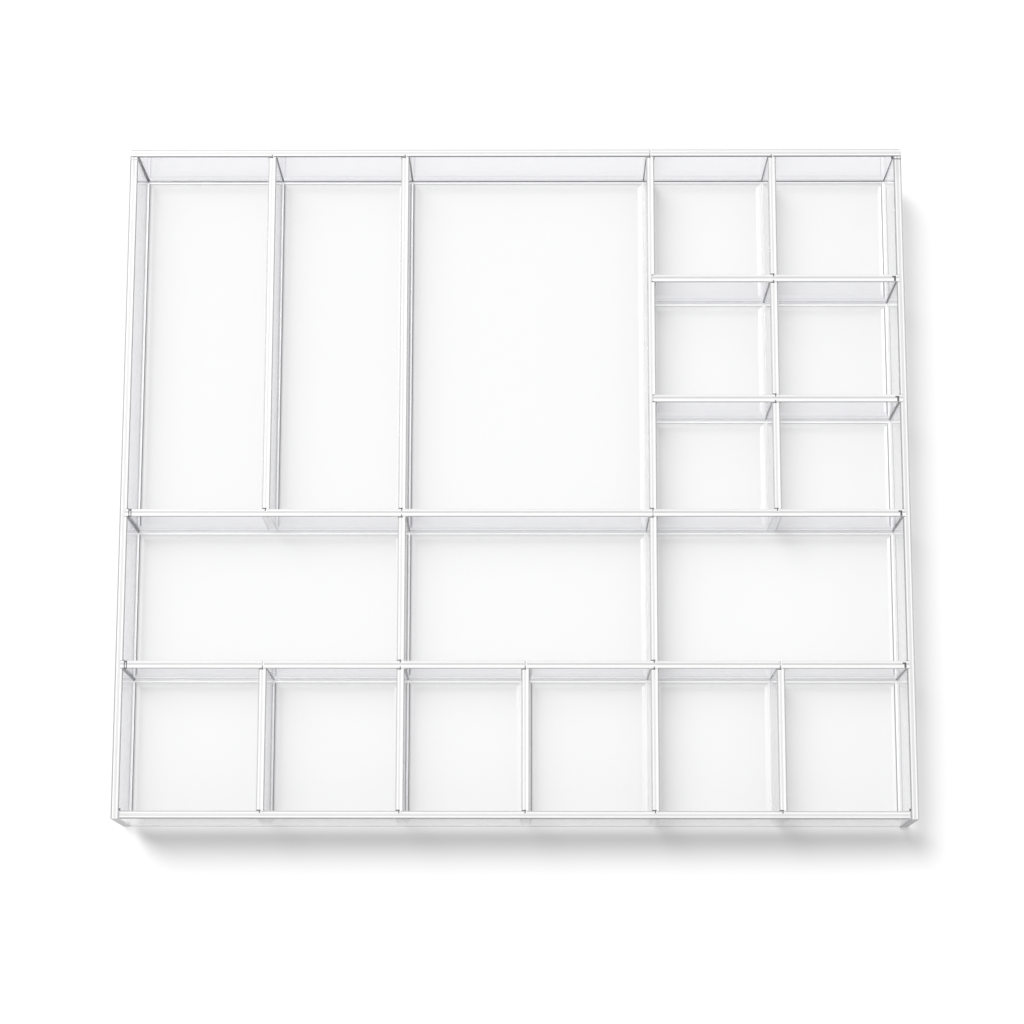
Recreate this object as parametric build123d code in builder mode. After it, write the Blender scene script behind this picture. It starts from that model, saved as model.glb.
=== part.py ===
"""Drawer organizer insert: a tray of clear acrylic sheet with eighteen fixed compartments.

Every piece is a flat sheet. The outer walls stand round a base panel, and the dividers stand on
it. Dividers that cross are half-lapped. Cross dividers are let into the side walls at full
thickness, and front-back dividers drop thin tongues into grooves open at the rim.
X runs left to right, Y front to rear, Z up. The origin is the middle of the underside.
"""

from build123d import *
import os

os.makedirs("parts", exist_ok=True)

# Driving dimensions, in millimetres
length = 400.0  # X, outside
depth = 347.0  # Y, outside
height = 45.0  # Z, underside to rim
sheet = 4.0  # all sixteen pieces are cut from sheet of one thickness
film = 0.05  # cement film left on each face of a joint
edge_radius = 0.4  # polished long edges at the rim
corner_radius = 1.2  # the tray's two rear corners
housing_depth = 1.5  # how far a cross divider is let into a side wall
tongue_thickness = 1.2
tongue_reach = 1.5  # how far a blind tongue goes into its groove

# Clear widths of the six front compartments from the left, the last one taking what is left
front_cell_widths = (68.0, 65.0, 58.5, 60.5, 59.0)
# Clear depths from the rear wall: three rows of small compartments, then the middle row
row_depths = (63.5, 59.5, 55.5, 73.5)

# Planes and levels that follow
inner_x = length / 2 - sheet
inner_y = depth / 2 - sheet
floor = sheet + film  # underside of every divider
lap_level = (floor + height) / 2  # crossing dividers meet halfway up
slot_width = sheet + 2 * film
groove_width = tongue_thickness + 2 * film


def centres(first_face, gaps, direction):
    """Middle planes of the sheets that follow clear gaps, starting from a wall's inner face."""
    places = []
    face = first_face
    for gap in gaps:
        places.append(face + direction * (gap + sheet / 2))
        face += direction * (gap + sheet)
    return places


x_first, x_second, x_third, x_fourth, x_fifth = centres(-inner_x, front_cell_widths, 1)
y_small_rear, y_small_front, y_middle, y_front = centres(inner_y, row_depths, -1)


def cross_plane(y):
    """Middle plane of a sheet that runs left to right: local X is X, local Y is height."""
    return Plane.XZ.offset(-y)


def depth_plane(x):
    """Middle plane of a sheet that runs front to rear: local X is Y, local Y is height."""
    return Plane.YZ.offset(x)


def make_upright(
    label, plane, start, end, bottom, laps=(), grooves=(), tongues=(), rear_radius=0
):
    """Make one standing sheet from start to end along its plane, and write its STEP file.

    laps: (place, low, high), a slot as wide as a sheet, right through.
    grooves: (place, width, cut, low, side), open at the rim; side is 1 for the face that the
    plane's normal leaves by, -1 for the other; a cut of a sheet's thickness goes right through.
    tongues: (end place, reach), negative towards the start.
    rear_radius: rounds the two upright edges of a rear face, if it isn't 0.
    """
    with BuildPart() as upright:
        with BuildSketch(plane):
            with Locations(((start + end) / 2, (bottom + height) / 2)):
                Rectangle(end - start, height - bottom)
        extrude(amount=sheet / 2, both=True)
        if rear_radius:
            fillet(upright.edges().filter_by(Axis.Z).group_by(Axis.Y)[-1], rear_radius)
        along = Axis((0, 0, 0), plane.x_dir)
        fillet(upright.edges().filter_by(along).group_by(Axis.Z)[-1], edge_radius)
        for place, low, high in laps:
            with BuildSketch(plane):
                with Locations((place, (low + high) / 2)):
                    Rectangle(slot_width, high - low)
            extrude(amount=sheet, both=True, mode=Mode.SUBTRACT)
        for place, width, cut, low, side in grooves:
            with BuildSketch(plane.offset(side * sheet / 2)):
                with Locations((place, (low + height) / 2)):
                    Rectangle(width, height - low)
            extrude(amount=-side * cut, mode=Mode.SUBTRACT)
        for place, reach in tongues:
            with BuildSketch(plane):
                with Locations((place + reach / 2, (lap_level + height) / 2)):
                    Rectangle(abs(reach), height - lap_level)
            extrude(amount=tongue_thickness / 2, both=True)
    upright.part.label = label
    export_step(upright.part, f"parts/{label}.step")


def housing(place, side, cut=housing_depth, low=sheet):
    """Groove that takes the whole thickness of a divider's end, down to the base."""
    return (place, slot_width, cut + film, low, side)


def blind_groove(place, side):
    """Groove for a blind tongue, over the upper half of the divider."""
    return (place, groove_width, tongue_reach + film, lap_level - film, side)


def open_slot(place, side):
    """Slot for a tongue that goes right through the sheet and ends flush with its far face."""
    return (place, groove_width, sheet, lap_level - film, side)


# A blind tongue starts one film short of the sheet it enters. A through tongue ends flush.
blind_tongue = tongue_reach + film
through_tongue = sheet + film

# Crossing slots: front-back dividers are slotted from the rim, cross dividers from below
rim_slots = [(y, lap_level - film / 2, height) for y in (y_middle, y_front)]
small_rim_slots = [(y, lap_level - film / 2, height) for y in (y_small_rear, y_small_front)]
under_slots = [(x, floor, lap_level + film / 2) for x in (x_second, x_fourth)]
small_under_slots = [(x_fifth, floor, lap_level + film / 2)]

# Base panel: between the side walls, under the front wall, against the rear wall
with BuildPart() as base_panel:
    with BuildSketch(Plane.XY):
        with Locations((0, -(sheet + film) / 2)):
            Rectangle(2 * (inner_x - film), depth - sheet - film)
    extrude(amount=sheet)
base_panel.part.label = "base_panel"
export_step(base_panel.part, "parts/base_panel.step")

# Outer walls
rear_grooves = [blind_groove(x, 1) for x in (x_first, x_second, x_fifth)]
rear_grooves.append(open_slot(x_fourth, 1))
make_upright(
    "rear_wall",
    cross_plane(depth / 2 - sheet / 2),
    -length / 2,
    length / 2,
    0,
    grooves=rear_grooves,
    rear_radius=corner_radius,
)
make_upright(
    "front_wall",
    cross_plane(-depth / 2 + sheet / 2),
    -inner_x + film,
    inner_x - film,
    floor,
    grooves=[blind_groove(x, -1) for x in (x_first, x_second, x_third, x_fourth, x_fifth)],
)
make_upright(
    "left_side_wall",
    depth_plane(-length / 2 + sheet / 2),
    -depth / 2,
    inner_y - film,
    0,
    grooves=[housing(y, 1) for y in (y_middle, y_front)],
)
make_upright(
    "right_side_wall",
    depth_plane(length / 2 - sheet / 2),
    -depth / 2,
    inner_y - film,
    0,
    grooves=[housing(y, -1) for y in (y_small_rear, y_small_front, y_middle, y_front)],
)

# Full-width cross dividers, let into both side walls
cross_end = inner_x + housing_depth
make_upright(
    "middle_cross_divider",
    cross_plane(y_middle),
    -cross_end,
    cross_end,
    floor,
    laps=under_slots,
    grooves=[blind_groove(x, -1) for x in (x_first, x_fifth)],
)
make_upright(
    "front_cross_divider",
    cross_plane(y_front),
    -cross_end,
    cross_end,
    floor,
    laps=under_slots,
    grooves=[open_slot(x, 1) for x in (x_first, x_third, x_fifth)],
)

# Short cross dividers of the small compartments, let into the right wall and half through the
# front-back divider at their left end
for label, y in (
    ("rear_small_cross_divider", y_small_rear),
    ("front_small_cross_divider", y_small_front),
):
    make_upright(
        label,
        cross_plane(y),
        x_fourth + film,
        cross_end,
        floor,
        laps=small_under_slots,
    )

# Front-back dividers over the whole depth
rear_end = inner_y - film
front_end = -inner_y + film
make_upright(
    "left_full_depth_divider",
    depth_plane(x_second),
    front_end,
    rear_end,
    floor,
    laps=rim_slots,
    tongues=[(front_end, -blind_tongue), (rear_end, blind_tongue)],
)
make_upright(
    "right_full_depth_divider",
    depth_plane(x_fourth),
    front_end,
    rear_end,
    floor,
    laps=rim_slots,
    grooves=[housing(y, 1, sheet / 2 - film) for y in (y_small_rear, y_small_front)],
    tongues=[(front_end, -blind_tongue), (rear_end, through_tongue)],
)

# Front-back dividers from the rear wall to the middle cross divider
middle_rear_face = y_middle + sheet / 2 + film
for label, x, slots in (
    ("rear_left_divider", x_first, ()),
    ("rear_right_divider", x_fifth, small_rim_slots),
):
    make_upright(
        label,
        depth_plane(x),
        middle_rear_face,
        rear_end,
        floor,
        laps=slots,
        tongues=[(middle_rear_face, -blind_tongue), (rear_end, blind_tongue)],
    )

# Front-back dividers of the front row
front_row_end = y_front - sheet / 2 - film
for label, x in (
    ("front_left_divider", x_first),
    ("front_centre_divider", x_third),
    ("front_right_divider", x_fifth),
):
    make_upright(
        label,
        depth_plane(x),
        front_end,
        front_row_end,
        floor,
        tongues=[(front_end, -blind_tongue), (front_row_end, through_tongue)],
    )
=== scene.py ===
"""Looks of a clear acrylic drawer tray: its sheets, cement in the joints, light and camera."""

import math

import bpy
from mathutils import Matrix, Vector


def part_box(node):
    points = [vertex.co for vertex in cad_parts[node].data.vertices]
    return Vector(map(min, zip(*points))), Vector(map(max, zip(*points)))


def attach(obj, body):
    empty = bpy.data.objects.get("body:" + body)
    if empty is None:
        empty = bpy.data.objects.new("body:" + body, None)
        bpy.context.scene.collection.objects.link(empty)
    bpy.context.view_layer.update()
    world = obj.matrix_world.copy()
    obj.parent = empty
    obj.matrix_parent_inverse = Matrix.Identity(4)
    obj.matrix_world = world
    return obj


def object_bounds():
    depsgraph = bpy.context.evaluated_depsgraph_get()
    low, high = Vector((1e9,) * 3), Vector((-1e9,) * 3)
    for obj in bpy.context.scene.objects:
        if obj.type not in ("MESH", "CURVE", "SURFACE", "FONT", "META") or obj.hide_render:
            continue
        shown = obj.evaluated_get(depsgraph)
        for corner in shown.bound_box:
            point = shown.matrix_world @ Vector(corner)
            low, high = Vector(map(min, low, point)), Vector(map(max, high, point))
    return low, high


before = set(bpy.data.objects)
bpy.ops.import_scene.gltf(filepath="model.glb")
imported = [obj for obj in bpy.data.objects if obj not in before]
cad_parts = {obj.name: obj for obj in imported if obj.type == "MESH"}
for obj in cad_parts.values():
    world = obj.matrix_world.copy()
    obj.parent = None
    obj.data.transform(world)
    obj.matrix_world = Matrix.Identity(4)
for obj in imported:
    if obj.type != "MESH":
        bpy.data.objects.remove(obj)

cad_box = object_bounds()

MM = 0.001
ACRYLIC_IOR = 1.49

# Light: a soft key at the upper left, as wide in the sky as KEY_SPREAD, and the studio round it.
KEY_FROM = (-1.3, 1.4, 3.0)
KEY_SPREAD = math.radians(24)
KEY_STRENGTH = 3.1
STUDIO_STRENGTH = 0.42
STUDIO_BELOW = (0.2, 0.2, 0.21, 1)
STUDIO_ABOVE = (1, 1, 1, 1)
STUDIO_FULL_AT = 0.6

# The camera at the photograph's angle, turned in the order ZYX.
CAMERA_PLACE = (0.00931, -0.29563, 1.41135)
CAMERA_TURN = (0.2, 0.00769, 0.0)
CAMERA_LENS = 96.95
CAMERA_SENSOR = 36

BOUNCES = 24
TRANSPARENT_BOUNCES = 32

# The floor, and the lightest and darkest of its paper's faint clouds.
FLOOR_HALF = 6.0
FLOOR_DROP = 0.1 * MM
FLOOR_DARK, FLOOR_LIGHT = 0.895, 0.905
FLOOR_CLOUD_SCALE = 3.0
FLOOR_ROUGHNESS = 0.9

# How much of the floor's light a sheet lets through: (share of the tray's height, share of light).
BASE_PASS = ((0.0, 0.98),)
CEMENT_PASS = ((0.0, 0.97),)
UPRIGHT_PASS = ((0.0, 0.8), (0.3, 0.92), (0.5, 0.96), (0.75, 0.985))
CROSS_PASS = ((0.0, 0.82), (0.3, 0.985))
FULL_CROSS_PASS = ((0.0, 0.78), (0.3, 0.92), (0.5, 0.96), (0.8, 0.99))
RIGHT_DIVIDER_PASS = ((0.0, 0.62), (0.3, 0.8), (0.6, 0.92), (0.9, 0.985))
RIGHT_WALL_PASS = (
    (0.03, 0.6), (0.08, 0.96), (0.22, 0.97), (0.34, 0.64), (0.5, 0.7), (0.75, 0.84), (1.0, 0.95),
)
FRONT_WALL_PASS = (
    (0.02, 0.7), (0.04, 0.97), (0.12, 0.97), (0.23, 0.58), (0.44, 0.56), (0.7, 0.74), (1.0, 0.95),
)
# How clear and how rough a satin edge is, and the dividers' upright ends, which hardly show.
EDGE_CLEAR = 0.2
EDGE_ROUGHNESS = 0.35
DIVIDER_ENDS = {"ends": (0.99, 0.99, 0.995, 1), "end_clear": 0.95, "end_blend": "MIX"}
# Noise on the sheets, as scale and what it does: smears on the faces, slow waves in them, and the
# saw's marks on the edges.
SMEAR_SCALE, SMEAR_DETAIL, SMEAR_ROUGHNESS = 35.0, 4.0, 0.02
WAVE_SCALE, WAVE_BUMP, WAVE_DEPTH = 9.0, 0.004, 2 * MM
SAW_SCALE, SAW_BUMP, SAW_DEPTH = 2500.0, 0.1, 0.1 * MM
# Noise in the cement: clouds that darken it and change its gloss, and fine bubbles.
CLOUD_SCALE, CLOUD_DETAIL, CLOUD_SHADE, CLOUD_GLOSS = 60.0, 3.0, 0.96, 0.2
BUBBLE_SCALE, BUBBLE_BUMP, BUBBLE_DEPTH = 300.0, 0.012, 0.1 * MM

# Cement along the floor, from the sheet out: how far each corner of its profile lies from the
# sheet, at the left and right of a compartment and at its front and rear, and how high it is.
BEAD_PROFILE = (
    ((0.02 * MM, 0.02 * MM), 0.0),
    ((0.02 * MM, 0.02 * MM), 1.3 * MM),
    ((0.12 * MM, 0.75 * MM), 1.32 * MM),
    ((0.6 * MM, 1.6 * MM), 1.3 * MM),
    ((1.0 * MM, 1.8 * MM), 0.9 * MM),
    ((1.6 * MM, 2.7 * MM), 0.45 * MM),
    ((2.9 * MM, 3.8 * MM), 0.0),
)
# Cement colours: CLEAR is the cement's own and CORNER the dark joint cement. The others are painted
# shades and lights of the same clear cement.
CLEAR, PAINTED_DARK, PAINTED_GREY, CORNER, PAINTED_FAINT, PAINTED_PALE, PAINTED_LIGHT_GREY, PAINTED_SOFT_GREY, PAINTED_LINE = range(9)
# The cement on each of the profile's faces, by the side of the compartment it lies along. Apart
# from the clear cement and the dark corner cement, its greys are painted shade and painted light,
# set by which way each face turns from the key.
BEAD_FACES = {
    "front": (CLEAR, PAINTED_GREY, PAINTED_GREY, PAINTED_GREY, PAINTED_GREY, PAINTED_GREY, CLEAR),
    "front_wall": (CLEAR, CLEAR, CLEAR, CLEAR, CLEAR, PAINTED_GREY, CLEAR),
    "right": (CLEAR, PAINTED_GREY, PAINTED_GREY, PAINTED_LIGHT_GREY, PAINTED_LIGHT_GREY, PAINTED_SOFT_GREY, CLEAR),
    "right_side_wall": (CLEAR, CLEAR, CLEAR, CLEAR, PAINTED_LINE, PAINTED_SOFT_GREY, CLEAR),
    "rear": (CLEAR, PAINTED_FAINT, CLEAR, PAINTED_GREY, CLEAR, CLEAR, CLEAR),
    "left": (CLEAR, CLEAR, PAINTED_FAINT, PAINTED_DARK, PAINTED_GREY, PAINTED_PALE, CLEAR),
    "left_side_wall": (CLEAR, CLEAR, CLEAR, PAINTED_DARK, PAINTED_GREY, CLEAR, CLEAR),
    "rear_wall": (CLEAR, CORNER, PAINTED_PALE, PAINTED_PALE, CLEAR, CLEAR, CLEAR),
}
# Cement up a compartment's corners: its size at the foot and at the rim, by the upright there.
CORNER_SIZES = {
    "left_side_wall": (1.0 * MM, 0.8 * MM),
    "right_side_wall": (0.65 * MM, 0.5 * MM),
}
OTHER_CORNERS = {1: (0.5 * MM, 0.35 * MM), -1: (0.35 * MM, 0.25 * MM)}
CORNER_STEPS = 6
CORNER_BELOW_RIM = 0.5 * MM
CLEARANCE = 0.02 * MM

# Cement at the rim: how wide its lines are, and how far they stand above it.
MARK_WIDTH = 0.5 * MM
MARK_HEIGHT = 0.05 * MM
MARK_BEVEL = 0.1 * MM
# The dark T at an upright's end, from left to right of the upright's middle: its bar along the
# cross sheet's face, and its stem into that sheet.
BAR = (-1.7 * MM, 0.4 * MM)
STEM = (-0.45 * MM, 0.05 * MM)
STEM_DEPTH = 1.1 * MM
# The frame where a cross divider enters the left wall: its start and end from the wall's face.
NOTCH = (0.4 * MM, 2.0 * MM)
# The hook where a cross divider meets the right wall, in from the wall's face and the divider's.
HOOK = (1.3 * MM, 0.3 * MM)
HOOK_TIP = 2.2 * MM
HOOK_FRONT, HOOK_REAR, HOOK_THICK = 0.4 * MM, 0.8 * MM, 0.8 * MM
# The short cross dividers' ends in the right full-depth divider: in from its right face, and long.
LAP_START, LAP_LENGTH = 2.0 * MM, 1.2 * MM
# The outer corners: dashes from the side walls' inner faces, a seam, and the front ones' size.
REAR_CORNER, REAR_CORNER_DEPTH, REAR_SEAM = 1.1 * MM, 1.4 * MM, 1.1 * MM
FRONT_CORNER, FRONT_CORNER_DEPTH = 0.8 * MM, 1.2 * MM
# Where uprights meet a cross sheet's front (0) or rear (1) face, and whether a seam crosses it.
UPRIGHT_MARKS = (
    ("rear_left_divider", "rear_wall", 0, False),
    ("left_full_depth_divider", "rear_wall", 0, False),
    ("right_full_depth_divider", "rear_wall", 0, True),
    ("rear_right_divider", "rear_wall", 0, False),
    ("rear_left_divider", "middle_cross_divider", 1, False),
    ("left_full_depth_divider", "middle_cross_divider", 1, False),
    ("right_full_depth_divider", "middle_cross_divider", 1, True),
    ("rear_right_divider", "middle_cross_divider", 1, False),
    ("rear_right_divider", "rear_small_cross_divider", 1, False),
    ("rear_right_divider", "front_small_cross_divider", 1, False),
    ("rear_right_divider", "rear_small_cross_divider", 0, False),
    ("rear_right_divider", "front_small_cross_divider", 0, False),
    ("left_full_depth_divider", "middle_cross_divider", 0, False),
    ("right_full_depth_divider", "middle_cross_divider", 0, False),
    ("left_full_depth_divider", "front_cross_divider", 1, False),
    ("right_full_depth_divider", "front_cross_divider", 1, False),
    ("front_left_divider", "front_cross_divider", 0, True),
    ("left_full_depth_divider", "front_cross_divider", 0, False),
    ("front_centre_divider", "front_cross_divider", 0, True),
    ("right_full_depth_divider", "front_cross_divider", 0, False),
    ("front_right_divider", "front_cross_divider", 0, True),
    ("front_left_divider", "front_wall", 1, False),
    ("left_full_depth_divider", "front_wall", 1, False),
    ("front_centre_divider", "front_wall", 1, False),
    ("right_full_depth_divider", "front_wall", 1, False),
    ("front_right_divider", "front_wall", 1, False),
)

# The rows of compartments: the sheet at the front, the one at the rear, and the uprights between.
ROWS = (
    ("middle_cross_divider", "rear_wall",
     ("left_side_wall", "rear_left_divider", "left_full_depth_divider",
      "right_full_depth_divider")),
    ("rear_small_cross_divider", "rear_wall",
     ("right_full_depth_divider", "rear_right_divider", "right_side_wall")),
    ("front_small_cross_divider", "rear_small_cross_divider",
     ("right_full_depth_divider", "rear_right_divider", "right_side_wall")),
    ("middle_cross_divider", "front_small_cross_divider",
     ("right_full_depth_divider", "rear_right_divider", "right_side_wall")),
    ("front_cross_divider", "middle_cross_divider",
     ("left_side_wall", "left_full_depth_divider", "right_full_depth_divider",
      "right_side_wall")),
    ("front_wall", "front_cross_divider",
     ("left_side_wall", "front_left_divider", "left_full_depth_divider",
      "front_centre_divider", "right_full_depth_divider", "front_right_divider",
      "right_side_wall")),
)


class Nodes:
    """A material's node tree with short calls for adding and linking nodes."""

    def __init__(self, name):
        self.material = bpy.data.materials.new(name)
        self.material.use_nodes = True
        self.tree = self.material.node_tree
        self.shader = self.tree.nodes["Principled BSDF"]
        self.output = self.tree.nodes["Material Output"]

    def add(self, kind, **settings):
        node = self.tree.nodes.new(kind)
        for key, value in settings.items():
            setattr(node, key, value)
        return node

    def link(self, source, target):
        self.tree.links.new(source, target)

    def math(self, operation, a, b=None):
        node = self.add("ShaderNodeMath", operation=operation)
        for socket, value in zip(node.inputs, (a, b)):
            if value is None:
                continue
            if isinstance(value, (int, float)):
                socket.default_value = value
            else:
                self.link(value, socket)
        return node.outputs[0]

    def ranged(self, value, from_low, from_high, low, high):
        node = self.add("ShaderNodeMapRange")
        self.link(value, node.inputs["Value"])
        for name, number in zip(
            ("From Min", "From Max", "To Min", "To Max"), (from_low, from_high, low, high)
        ):
            node.inputs[name].default_value = number
        return node.outputs[0]

    def ramp(self, value, stops):
        node = self.add("ShaderNodeValToRGB")
        elements = node.color_ramp.elements
        while len(elements) < len(stops):
            elements.new(0.5)
        for element, (place, colour) in zip(elements, stops):
            element.position = place
            element.color = (*colour, 1)
        self.link(value, node.inputs[0])
        return node.outputs[0]

    def mixed(self, factor, a, b, blend="MIX"):
        """The colour a, turning to b as the factor goes to 1. Each is a colour or a socket."""
        node = self.add("ShaderNodeMix", data_type="RGBA", blend_type=blend)
        self.link(factor, node.inputs[0])
        for socket, value in ((node.inputs[6], a), (node.inputs[7], b)):
            if isinstance(value, tuple):
                socket.default_value = value
            else:
                self.link(value, socket)
        return node.outputs[2]

    def noise(self, place, scale, detail=2.0):
        node = self.add("ShaderNodeTexNoise")
        self.link(place, node.inputs["Vector"])
        node.inputs["Scale"].default_value = scale
        node.inputs["Detail"].default_value = detail
        return node.outputs["Fac"]

    def bump(self, height, strength, distance, before=None):
        node = self.add("ShaderNodeBump")
        node.inputs["Strength"].default_value = strength
        node.inputs["Distance"].default_value = distance
        self.link(height, node.inputs["Height"])
        if before is not None:
            self.link(before, node.inputs["Normal"])
        return node.outputs[0]


def grey(value):
    return (value, value, value)


# The polished edge across its thickness, from the left or front face to the right or rear one,
# painted with how light falls on it:
# grey painted shade at both corners, white bands of painted highlight, and a glassy line of painted
# reflection between them.
WALL_PAINTED_BANDS = (
    (0.14, grey(0.32)), (0.18, grey(0.92)), (0.3, grey(0.92)), (0.36, grey(0.7)),
    (0.64, grey(0.71)), (0.7, grey(0.93)), (0.82, grey(0.93)), (0.87, grey(0.5)),
)
UPRIGHT_PAINTED_BANDS = (
    (0.13, grey(0.5)), (0.17, grey(0.9)), (0.32, grey(0.9)), (0.38, grey(0.7)),
    (0.56, grey(0.76)), (0.62, grey(0.93)), (0.84, grey(0.93)), (0.88, grey(0.45)),
)
CROSS_PAINTED_BANDS = (
    (0.12, grey(0.66)), (0.17, grey(0.92)), (0.42, grey(0.9)), (0.5, grey(0.56)),
    (0.7, grey(0.62)), (0.78, grey(0.9)), (0.84, grey(0.9)), (0.88, grey(0.75)),
)
BASE_BANDS = ((0.0, grey(0.9)), (1.0, grey(0.95)))
# Painted shade: the side walls' upright ends, which face away from the key, are painted dark grey.
SIDE_END_PAINTED_SHADE = (0.6, 0.6, 0.62, 1)

# A sheet's tint, the light it passes, its edge's bands and the painted shade of its upright edges:
# those of most sheets, then what differs.
# The tints also hold painted shade and light: the left wall's is darker, the right wall's, the
# front wall's and the right dividers' lighter.
COMMON_LOOK = {
    "tint_and_painted_shade": (0.86, 0.86, 0.885, 1),
    "bands": WALL_PAINTED_BANDS,
    "ends": (0.95, 0.95, 0.96, 1),
    "end_clear": EDGE_CLEAR,
    "end_blend": "MULTIPLY",
}
RIGHT_DIVIDER_LOOK = {"tint_and_painted_shade": (0.97, 0.97, 0.98, 1), "passes": RIGHT_DIVIDER_PASS}
LOOKS = {
    "right_full_depth_divider": RIGHT_DIVIDER_LOOK,
    "rear_right_divider": RIGHT_DIVIDER_LOOK,
    "front_right_divider": RIGHT_DIVIDER_LOOK,
    "middle_cross_divider": {"passes": FULL_CROSS_PASS},
    "front_cross_divider": {"passes": FULL_CROSS_PASS},
    "base_panel": {"tint_and_painted_shade": (0.985, 0.986, 0.99, 1), "bands": BASE_BANDS},
    "front_wall": {"tint_and_painted_shade": (0.96, 0.96, 0.98, 1), "passes": FRONT_WALL_PASS},
    "left_side_wall": {"tint_and_painted_shade": (0.79, 0.79, 0.82, 1), "ends": SIDE_END_PAINTED_SHADE},
    "right_side_wall": {
        "tint_and_painted_shade": (0.98, 0.98, 0.99, 1), "passes": RIGHT_WALL_PASS, "ends": SIDE_END_PAINTED_SHADE,
    },
}


def acrylic(name, thin, tint_and_painted_shade, passes, bands, ends, end_clear, end_blend):
    """Clear sheet whose thin direction is axis `thin`, with satin edges in bands of grey that are
    painted shade and painted highlight.

    The edge is where the normal turns away from that axis, and upright where it doesn't face up.
    """
    n = Nodes(name)
    place = n.add("ShaderNodeTexCoord")
    geometry = n.add("ShaderNodeNewGeometry")
    facing = n.add("ShaderNodeSeparateXYZ")
    n.link(geometry.outputs["Normal"], facing.inputs[0])
    across = n.add("ShaderNodeSeparateXYZ")
    n.link(place.outputs["Generated"], across.inputs[0])
    edge = n.ranged(n.math("ABSOLUTE", facing.outputs[thin]), 0.9, 0.5, 0.0, 1.0)

    # The edge's colour is painted: bands of painted highlight and shade across it, and on its
    # upright ends the ends' colour, which is painted shade on the walls.
    upright = n.ranged(facing.outputs[2], 0.3, 0.6, 1.0, 0.0)
    band = n.mixed(upright, n.ramp(across.outputs[thin], bands), ends, blend=end_blend)
    n.link(n.mixed(edge, tint_and_painted_shade, band), n.shader.inputs["Base Color"])
    hazy = n.math("MULTIPLY", edge, n.ranged(upright, 0.0, 1.0, 1 - EDGE_CLEAR, 1 - end_clear))
    n.link(n.math("SUBTRACT", 1.0, hazy), n.shader.inputs["Transmission Weight"])

    smears = n.noise(place.outputs["Object"], SMEAR_SCALE, SMEAR_DETAIL)
    smudged = n.ranged(smears, 0.5, 0.75, 0.0, SMEAR_ROUGHNESS)
    rough = n.math("MAXIMUM", smudged, n.math("MULTIPLY", edge, EDGE_ROUGHNESS))
    n.link(rough, n.shader.inputs["Roughness"])

    waves = n.bump(n.noise(place.outputs["Object"], WAVE_SCALE), WAVE_BUMP, WAVE_DEPTH)
    saw = n.math("MULTIPLY", n.noise(place.outputs["Object"], SAW_SCALE), edge)
    n.link(n.bump(saw, SAW_BUMP, SAW_DEPTH, waves), n.shader.inputs["Normal"])
    n.shader.inputs["IOR"].default_value = ACRYLIC_IOR

    let_through(n, geometry, passes)
    return n.material


def let_through(n, geometry, passes):
    """Lamps and floor light go straight through, dimmed as the rows of passes say."""
    clear = n.add("ShaderNodeBsdfTransparent")
    if len(passes) == 1:
        clear.inputs["Color"].default_value = (*grey(passes[0][1]), 1)
    else:
        height = n.add("ShaderNodeSeparateXYZ")
        n.link(geometry.outputs["Position"], height.inputs[0])
        share = n.ranged(height.outputs["Z"], 0.0, cad_box[1][2], 0.0, 1.0)
        stops = tuple((at, grey(part)) for at, part in passes)
        n.link(n.ramp(share, stops), clear.inputs["Color"])
    path = n.add("ShaderNodeLightPath")
    shader = n.shader.outputs[0]
    for kind in ("Is Shadow Ray", "Is Diffuse Ray"):
        mix = n.add("ShaderNodeMixShader")
        n.link(path.outputs[kind], mix.inputs[0])
        n.link(shader, mix.inputs[1])
        n.link(clear.outputs[0], mix.inputs[2])
        shader = mix.outputs[0]
    n.link(shader, n.output.inputs["Surface"])


def cement(name, colour, roughness):
    """Set solvent cement: cloudy, slightly uneven, with fine bubbles."""
    n = Nodes(name)
    place = n.add("ShaderNodeTexCoord").outputs["Object"]
    clouds = n.ranged(n.noise(place, CLOUD_SCALE, CLOUD_DETAIL), 0.35, 0.65, 0.0, 1.0)
    darker = tuple(CLOUD_SHADE * c for c in colour) + (1,)
    n.link(n.mixed(clouds, (*colour, 1), darker), n.shader.inputs["Base Color"])
    glossy, dull = roughness * (1 - CLOUD_GLOSS), roughness * (1 + CLOUD_GLOSS)
    n.link(n.ranged(clouds, 0.0, 1.0, glossy, dull), n.shader.inputs["Roughness"])
    bubbles = n.noise(place, BUBBLE_SCALE)
    n.link(n.bump(bubbles, BUBBLE_BUMP, BUBBLE_DEPTH), n.shader.inputs["Normal"])
    n.shader.inputs["IOR"].default_value = ACRYLIC_IOR
    let_through(n, None, CEMENT_PASS)
    return n.material


def new_piece(name, points, faces, materials, slots, body="root"):
    """Adds a mesh as a visual piece. `slots` says which of the materials each face has."""
    mesh = bpy.data.meshes.new(name)
    mesh.from_pydata(points, [], faces)
    for material in materials:
        mesh.materials.append(material)
    for polygon, index in zip(mesh.polygons, slots):
        polygon.material_index = index
    mesh.validate()
    mesh.update()
    piece = bpy.data.objects.new(name, mesh)
    bpy.context.scene.collection.objects.link(piece)
    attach(piece, body)
    return piece


def face_at(node, axis, side):
    """Where a sheet's face lies along an axis: side 0 is its low face, side 1 its high one."""
    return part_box(node)[side][axis]


def compartments():
    """Each compartment as (its floor's x0, x1, y0, y1), (its front, right, rear, left sheet)."""
    found = []
    for front, rear, uprights in ROWS:
        y0, y1 = face_at(front, 1, 1), face_at(rear, 1, 0)
        for left, right in zip(uprights, uprights[1:]):
            x0, x1 = face_at(left, 0, 1), face_at(right, 0, 0)
            found.append(((x0, x1, y0, y1), (front, right, rear, left)))
    return found


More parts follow.
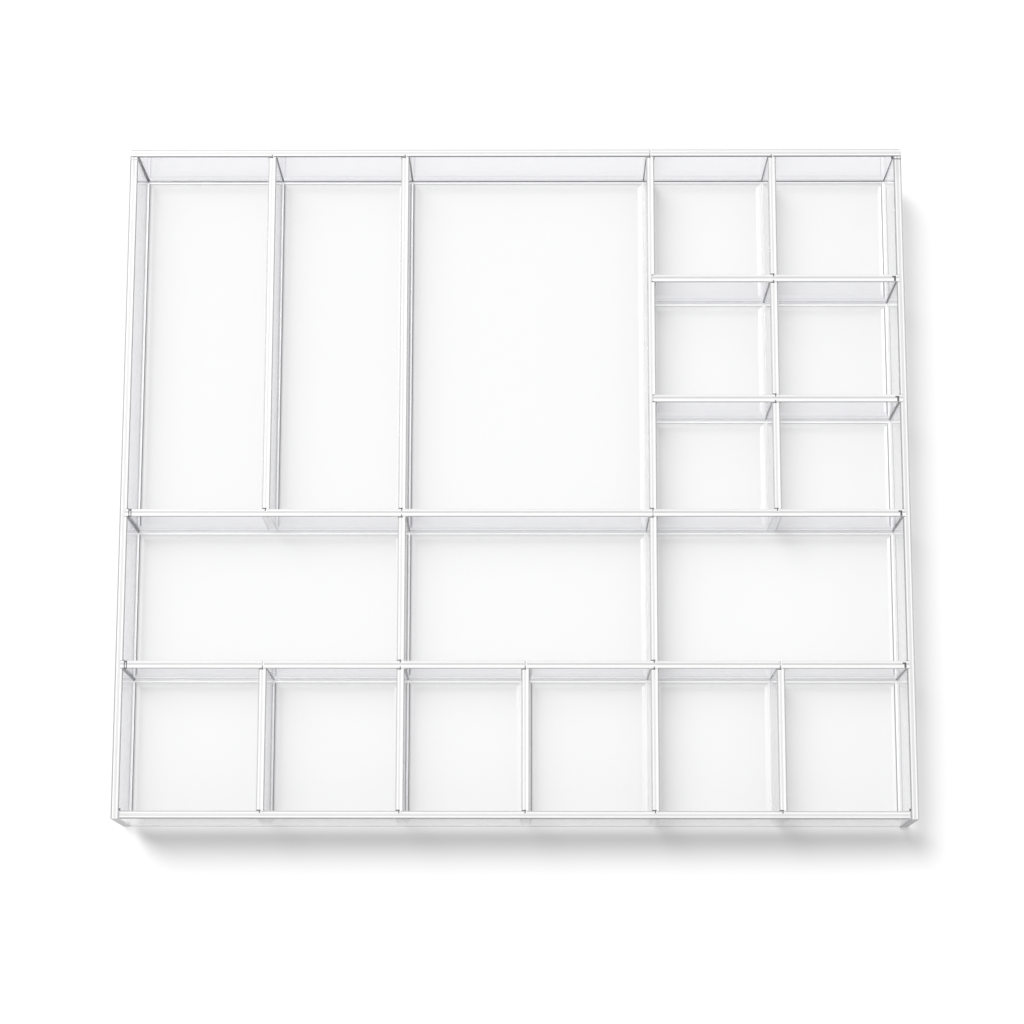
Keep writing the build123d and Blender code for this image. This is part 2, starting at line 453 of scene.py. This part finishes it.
def ring(x0, x1, y0, y1, inset, height):
    """A rectangle's corners, drawn in by inset[0] left and right and inset[1] front and rear."""
    x, y = inset
    return [
        (x0 + x, y0 + y, height),
        (x1 - x, y0 + y, height),
        (x1 - x, y1 - y, height),
        (x0 + x, y1 - y, height),
    ]


def floor_joint(x0, x1, y0, y1, floor, sides):
    """A mitred cement bead round a compartment's floor: points, faces and material slots."""
    points = []
    for inset, height in BEAD_PROFILE:
        points += ring(x0, x1, y0, y1, inset, floor + CLEARANCE + height)
    faces, slots = [], []
    for i in range(len(BEAD_PROFILE)):
        j = (i + 1) % len(BEAD_PROFILE)
        for c, side in enumerate(sides):
            d = (c + 1) % 4
            faces.append((4 * i + c, 4 * i + d, 4 * j + d, 4 * j + c))
            slots.append(BEAD_FACES[side][i])
    return points, faces, slots


def corner_bead(x, y, turn_x, turn_y, low, high, foot, head):
    """A hollow-faced cement bead up one corner, wider at its foot: points and faces."""
    points = []
    for height, size in ((low, foot), (high, head)):
        points.append((x + turn_x * CLEARANCE, y + turn_y * CLEARANCE, height))
        for i in range(CORNER_STEPS + 1):
            angle = math.pi / 2 * i / CORNER_STEPS
            across = size * (1 - math.sin(angle)) + CLEARANCE
            along = size * (1 - math.cos(angle)) + CLEARANCE
            points.append((x + turn_x * across, y + turn_y * along, height))
    count = CORNER_STEPS + 2
    faces = [
        (i, (i + 1) % count, count + (i + 1) % count, count + i) for i in range(count)
    ]
    faces.append(tuple(reversed(range(count))))
    faces.append(tuple(range(count, 2 * count)))
    if turn_x * turn_y < 0:
        faces = [tuple(reversed(face)) for face in faces]
    return points, faces


def add_joints():
    """The cement round every compartment's floor and up its corners."""
    # Clear cement, dark corner cement, and greys of the same clear cement that are painted shade
    # and painted light.
    materials = (
        cement("cement_clear", (0.95, 0.95, 0.955), 0.25),
        cement("cement_painted_dark", (0.32, 0.32, 0.335), 0.3),
        cement("cement_painted_grey", (0.81, 0.81, 0.82), 0.25),
        cement("cement_corner", (0.21, 0.21, 0.225), 0.15),
        cement("cement_painted_faint", (0.63, 0.63, 0.65), 0.25),
        cement("cement_painted_pale", (0.88, 0.88, 0.89), 0.25),
        cement("cement_painted_light_grey", (0.82, 0.82, 0.825), 0.25),
        cement("cement_painted_soft_grey", (0.775, 0.775, 0.78), 0.25),
        cement("cement_painted_line", (0.36, 0.36, 0.375), 0.3),
    )
    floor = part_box("base_panel")[1][2]
    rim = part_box("rear_wall")[1][2]
    low, high = floor + BEAD_PROFILE[2][1] + 2 * CLEARANCE, rim - CORNER_BELOW_RIM
    for number, ((x0, x1, y0, y1), sheets) in enumerate(compartments(), 1):
        sides = [
            sheet if sheet in BEAD_FACES else side
            for sheet, side in zip(sheets, ("front", "right", "rear", "left"))
        ]
        points, faces, slots = floor_joint(x0, x1, y0, y1, floor, sides)
        _, right, rear, left = sheets
        for x, turn_x, upright in ((x0, 1, left), (x1, -1, right)):
            foot, head = CORNER_SIZES.get(upright, OTHER_CORNERS[turn_x])
            if rear == "rear_wall" and turn_x < 0:
                foot, head = OTHER_CORNERS[turn_x]
            for y, turn_y in ((y0, 1), (y1, -1)):
                more, walls = corner_bead(x, y, turn_x, turn_y, low, high, foot, head)
                start = len(points)
                points += more
                faces += [tuple(start + i for i in face) for face in walls]
                slots += [CORNER] * len(walls)
        new_piece(f"joint_cement_{number}", points, faces, materials, slots)


def cap(x0, x1, y0, y1, low, thick):
    """A flat drop of cement with a bevelled rim: points and faces."""
    inset = min(MARK_BEVEL, (x1 - x0) / 4, (y1 - y0) / 4)
    points = ring(x0, x1, y0, y1, (0.0, 0.0), low)
    points += ring(x0, x1, y0, y1, (inset, inset), low + thick)
    sides = [(i, (i + 1) % 4, 4 + (i + 1) % 4, 4 + i) for i in range(4)]
    return points, [(3, 2, 1, 0), (4, 5, 6, 7), *sides]


def upright_marks():
    """The dark T at each upright's end, and a seam if it goes right through: x, x, y, y, seam."""
    for upright, cross, side, through in UPRIGHT_MARKS:
        low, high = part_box(upright)
        middle = (low[0] + high[0]) / 2
        face = face_at(cross, 1, side)
        out = 1 if side else -1
        x0, x1, end = middle + STEM[0], middle + STEM[1], face - out * STEM_DEPTH
        yield middle + BAR[0], middle + BAR[1], face, face + out * MARK_WIDTH, False
        yield x0, x1, face, end, False
        if through:
            yield x0, x1, end, face_at(cross, 1, 1 - side), True


def cross_marks():
    """The marks where the cross dividers end, at the left wall, right wall or a divider."""
    for cross in ("middle_cross_divider", "front_cross_divider"):
        y0, y1 = face_at(cross, 1, 0), face_at(cross, 1, 1)
        wall = face_at("left_side_wall", 0, 1)
        near, far = wall + NOTCH[0], wall + NOTCH[1]
        yield near, near + MARK_WIDTH, y0, y1, False
        yield far - MARK_WIDTH, far, y0, y1, False
        yield near, far, y0, y0 + MARK_WIDTH, False
        yield near, far, y1 - 2 * MARK_WIDTH, y1, False
    for cross in ("middle_cross_divider", "front_cross_divider",
                  "rear_small_cross_divider", "front_small_cross_divider"):
        y0, y1 = face_at(cross, 1, 0), face_at(cross, 1, 1)
        x, rear = face_at("right_side_wall", 0, 0), y1 - HOOK_REAR
        yield x - HOOK[0], x - HOOK[1], y0 + HOOK_FRONT, rear, False
        yield x - HOOK_TIP, x - HOOK[0], rear - HOOK_THICK, rear, False
        if "small" in cross:
            x = face_at("right_full_depth_divider", 0, 1) - LAP_START
            yield x, x + LAP_LENGTH, y1 - MARK_WIDTH, y1, False
            yield x, x + LAP_LENGTH, y0, y0 + MARK_WIDTH, False
            yield x, x + MARK_WIDTH, y0, y1, True


def wall_marks():
    """The marks at the tray's four outer corners."""
    rear, front = face_at("rear_wall", 1, 0), face_at("front_wall", 1, 1)
    for wall, side, out in (("left_side_wall", 1, 1), ("right_side_wall", 0, -1)):
        inner, outer = face_at(wall, 0, side), face_at(wall, 0, 1 - side)
        seam = rear - REAR_SEAM
        yield inner, inner + out * REAR_CORNER, rear, rear - REAR_CORNER_DEPTH, False
        yield inner, outer, seam, seam - MARK_WIDTH, side == 1
        yield inner, inner + out * FRONT_CORNER, front, front + FRONT_CORNER_DEPTH, False
        yield inner, inner + out * MARK_WIDTH, front, face_at("front_wall", 1, 0), True


def add_rim_marks():
    """Cement that shows at the joints on the rim: dark dashes, and pale seams across a sheet."""
    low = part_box("rear_wall")[1][2] + CLEARANCE / 2
    dark = cement("cement_mark", (0.1, 0.1, 0.11), 0.3)
    pale = cement("cement_seam", (0.56, 0.55, 0.6), 0.3)
    points, faces, slots = [], [], []
    for x0, x1, y0, y1, seam in (*upright_marks(), *cross_marks(), *wall_marks()):
        (x0, x1), (y0, y1) = sorted((x0, x1)), sorted((y0, y1))
        more, sides = cap(x0, x1, y0, y1, low, MARK_HEIGHT)
        start = len(points)
        points += more
        faces += [tuple(start + i for i in side) for side in sides]
        slots += [int(seam)] * len(sides)
    new_piece("rim_joint_cement", points, faces, (dark, pale), slots)


def add_sheets():
    """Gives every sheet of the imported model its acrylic."""
    made = {}
    for name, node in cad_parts.items():
        low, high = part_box(name)
        sizes = [high[i] - low[i] for i in range(3)]
        thin = sizes.index(min(sizes))
        passes = (UPRIGHT_PASS, CROSS_PASS, BASE_PASS)[thin]
        look = {**COMMON_LOOK, "passes": passes, **LOOKS.get(name, {})}
        if "divider" in name:
            look["bands"] = (UPRIGHT_PAINTED_BANDS, CROSS_PAINTED_BANDS)[thin]
            look.update(DIVIDER_ENDS)
        key = (thin, *look.values())
        if key not in made:
            made[key] = acrylic(f"acrylic_{len(made) + 1}", thin, **look)
        node.data.materials.clear()
        node.data.materials.append(made[key])


def add_floor():
    """Plain pale paper that the tray stands on."""
    mesh = bpy.data.meshes.new("floor")
    half = FLOOR_HALF
    corners = ring(-half, half, -half, half, (0.0, 0.0), -FLOOR_DROP)
    mesh.from_pydata(corners, [], [(0, 1, 2, 3)])
    floor = bpy.data.objects.new("floor", mesh)
    bpy.context.scene.collection.objects.link(floor)
    n = Nodes("floor_paper")
    place = n.add("ShaderNodeTexCoord").outputs["Object"]
    clouds = n.noise(place, FLOOR_CLOUD_SCALE)
    paper = n.ramp(clouds, ((0.0, grey(FLOOR_DARK)), (1.0, grey(FLOOR_LIGHT))))
    n.link(paper, n.shader.inputs["Base Color"])
    n.shader.inputs["Roughness"].default_value = FLOOR_ROUGHNESS
    n.shader.inputs["Specular IOR Level"].default_value = 0.0
    mesh.materials.append(n.material)


def add_studio():
    """A white sky that darkens towards the ground, and the soft key lamp."""
    world = bpy.data.worlds.new("studio")
    bpy.context.scene.world = world
    world.use_nodes = True
    tree = world.node_tree
    background = tree.nodes["Background"]
    place = tree.nodes.new("ShaderNodeTexCoord")
    split = tree.nodes.new("ShaderNodeSeparateXYZ")
    ramp = tree.nodes.new("ShaderNodeValToRGB")
    tree.links.new(place.outputs["Generated"], split.inputs[0])
    tree.links.new(split.outputs["Z"], ramp.inputs[0])
    tree.links.new(ramp.outputs[0], background.inputs[0])
    below, above = ramp.color_ramp.elements
    below.color = STUDIO_BELOW
    above.position, above.color = STUDIO_FULL_AT, STUDIO_ABOVE
    background.inputs[1].default_value = STUDIO_STRENGTH

    lamp = bpy.data.lights.new("key", "SUN")
    lamp.angle = KEY_SPREAD
    lamp.energy = KEY_STRENGTH
    key = bpy.data.objects.new("key", lamp)
    bpy.context.scene.collection.objects.link(key)
    key.location = KEY_FROM
    key.rotation_euler = (-Vector(KEY_FROM)).to_track_quat("-Z", "Y").to_euler()


def add_camera():
    lens = bpy.data.cameras.new("camera")
    lens.sensor_width = CAMERA_SENSOR
    lens.lens = CAMERA_LENS
    camera = bpy.data.objects.new("camera", lens)
    bpy.context.scene.collection.objects.link(camera)
    camera.location = CAMERA_PLACE
    camera.rotation_mode = "ZYX"
    camera.rotation_euler = CAMERA_TURN
    bpy.context.scene.camera = camera


def set_scene():
    scene = bpy.context.scene
    scene.view_settings.view_transform = "Standard"
    scene.cycles.max_bounces = BOUNCES
    scene.cycles.transmission_bounces = BOUNCES
    scene.cycles.transparent_max_bounces = TRANSPARENT_BOUNCES


add_camera()
add_sheets()
add_joints()
add_rim_marks()
add_floor()
add_studio()
set_scene()
